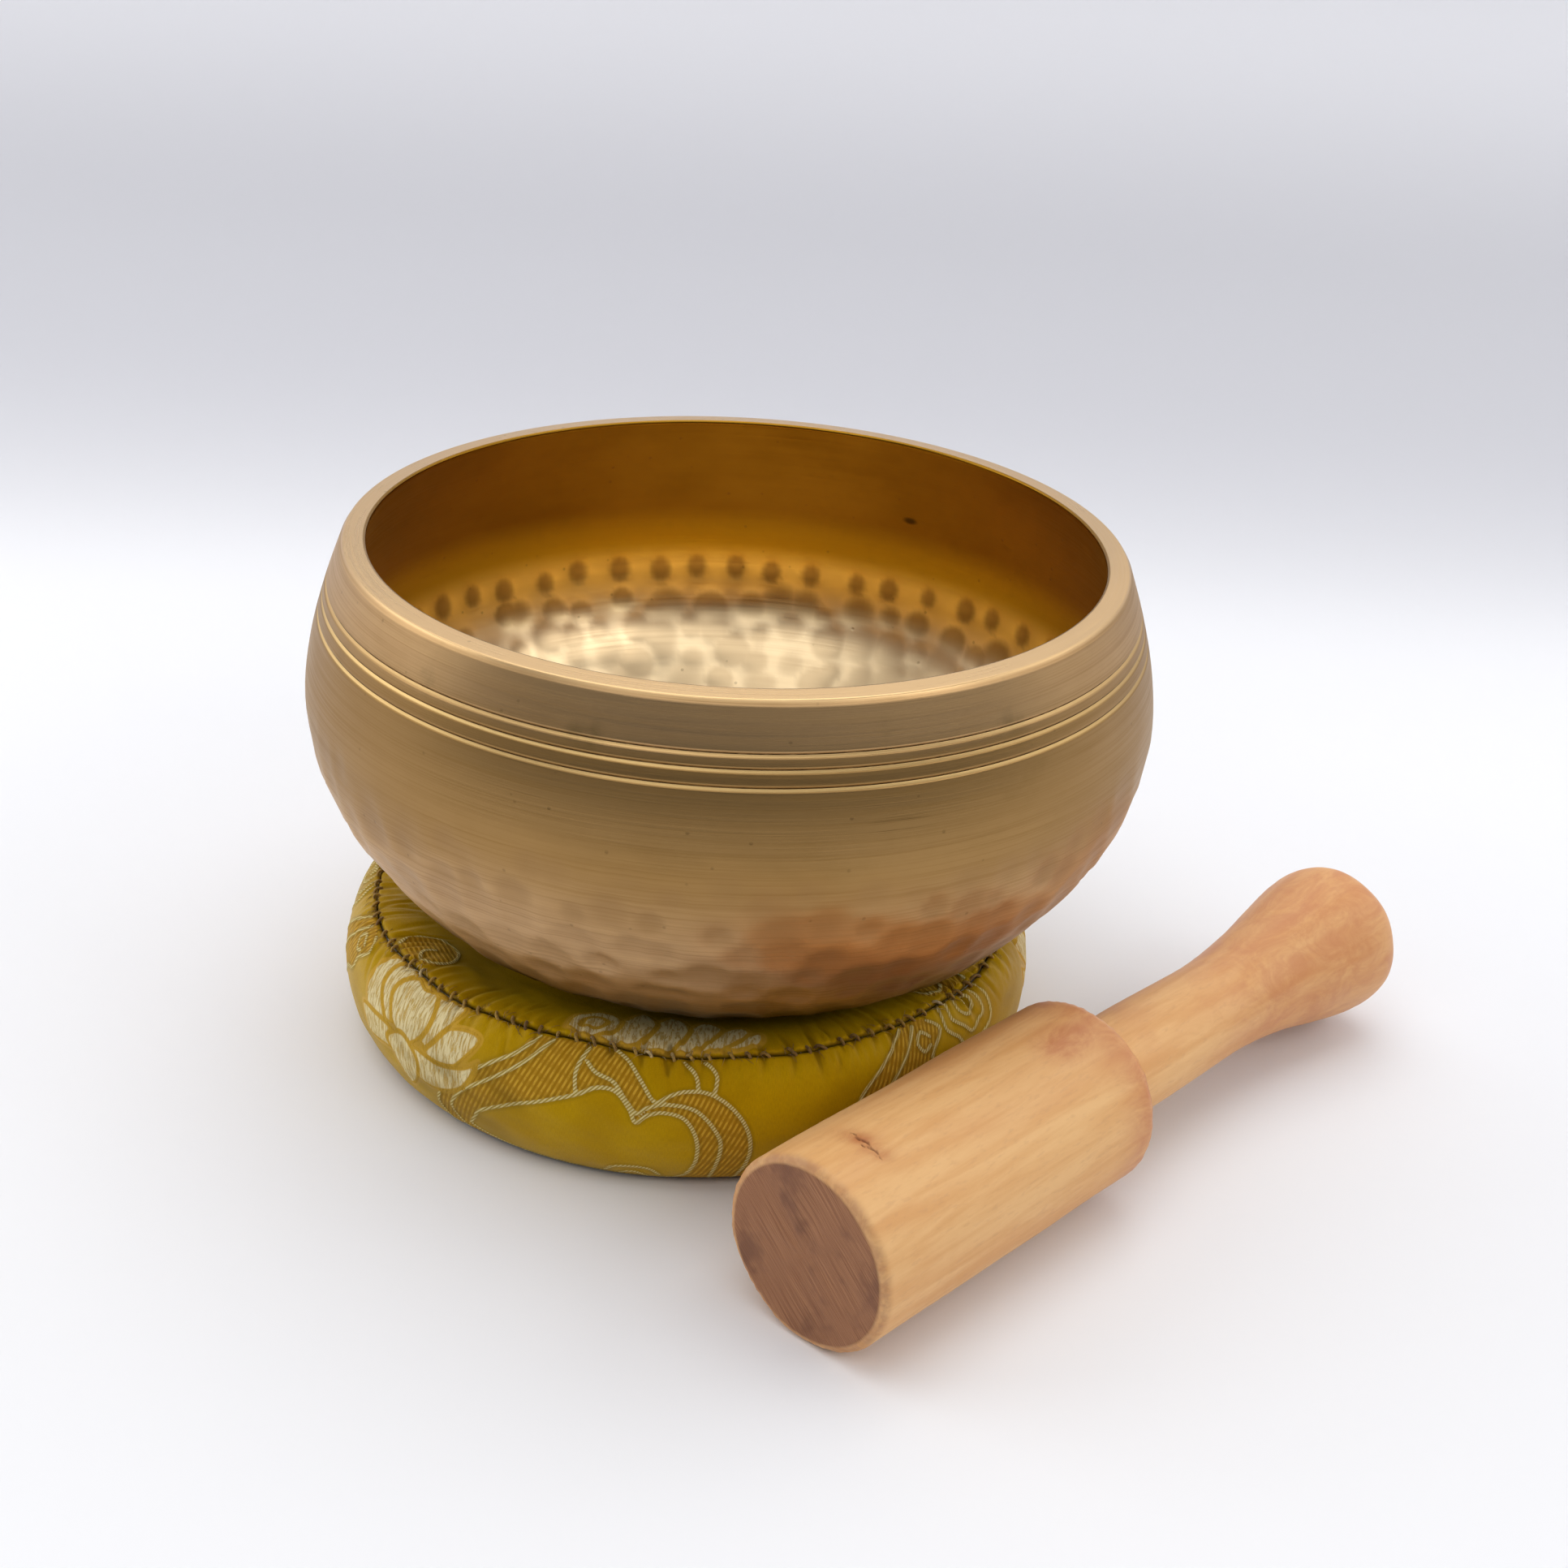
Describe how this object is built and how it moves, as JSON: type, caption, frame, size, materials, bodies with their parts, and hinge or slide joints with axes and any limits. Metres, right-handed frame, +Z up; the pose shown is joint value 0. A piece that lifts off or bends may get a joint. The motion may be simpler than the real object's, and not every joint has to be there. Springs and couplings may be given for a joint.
{
  "type": "singing bowl",
  "caption": "Round hammered metal singing bowl with incised lines below its flat rim, resting on a dished brocade cushion, with a turned wooden striker beside it.",
  "frame": {"origin": "centre of the cushion's underside, on the table top", "axes": "+Z up, along the bowl's and the cushion's round axes; +X to the right as seen from the front, where the striker's striking face is; +Y to the back"},
  "size_m": [0.179, 0.1615, 0.084],
  "materials": {
    "bell_metal": "satin, fine turning lines, hammered below",
    "brocade_top": "woven satin brocade",
    "brocade_side": "woven satin brocade",
    "lining": "plain cotton",
    "wadding": "loose fibre",
    "sewing_thread": "twisted cotton",
    "turned_wood": "bare, fine sanded"
  },
  "bodies": {
    "cushion": {"cushion_top_cover": "brocade_top", "cushion_side_cover": "brocade_side", "cushion_base_cloth": "lining", "cushion_filling": "wadding", "seam_thread": "sewing_thread"},
    "bowl": {"bowl": "bell_metal"},
    "striker": {"striker": "turned_wood"}
  },
  "joints": [
    {"name": "bowl_lift", "type": "slide", "parent": "cushion", "child": "bowl", "axis": [0, 0, 1], "range_m": [0, 0.08]},
    {"name": "striker_lift", "type": "slide", "parent": "cushion", "child": "striker", "axis": [0.3716, -0.3346, 0.866], "range_m": [0, 0.12]}
  ]
}
